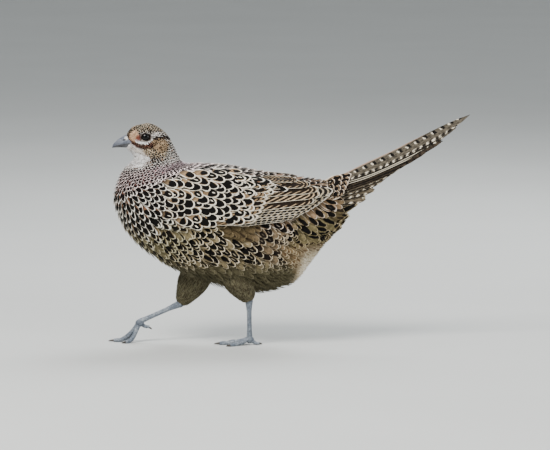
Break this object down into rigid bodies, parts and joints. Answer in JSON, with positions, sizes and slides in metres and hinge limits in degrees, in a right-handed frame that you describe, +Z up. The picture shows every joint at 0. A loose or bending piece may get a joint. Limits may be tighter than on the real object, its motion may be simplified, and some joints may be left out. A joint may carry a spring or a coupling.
{
  "type": "common pheasant, hen",
  "caption": "Life-size still model of a hen common pheasant walking with its neck drawn in and its pointed tail raised; it stands on its own feet.",
  "frame": {"origin": "on the floor, under the middle of the bird's box", "axes": "+X towards the tail, so the bird faces -X; its left side is on -Y; +Z up"},
  "size_m": [0.49, 0.1314, 0.3124],
  "materials": {
    "plumage": "soft contour feathers, buff and brown with dark centres and bars",
    "flight_feathers": "stiff vanes, brown with dark bars and pale edges",
    "bill_horn": "grey horn, slightly glossy",
    "eye": "wet dark brown eye",
    "leg_skin": "scaled grey skin",
    "claw_horn": "dark horn"
  },
  "bodies": {
    "root": {"head": "plumage", "bill_upper": "bill_horn", "bill_lower": "bill_horn", "eye_left": "eye", "eye_right": "eye", "neck": "plumage", "torso": "plumage", "wing_left": "flight_feathers", "wing_right": "flight_feathers", "tail": "flight_feathers", "thigh_left": "plumage", "tarsus_left": "leg_skin", "foot_left": "leg_skin", "claw_left_1": "claw_horn", "claw_left_2": "claw_horn", "claw_left_3": "claw_horn", "claw_left_4": "claw_horn", "thigh_right": "plumage", "tarsus_right": "leg_skin", "foot_right": "leg_skin", "claw_right_1": "claw_horn", "claw_right_2": "claw_horn", "claw_right_3": "claw_horn", "claw_right_4": "claw_horn"}
  },
  "joints": []
}
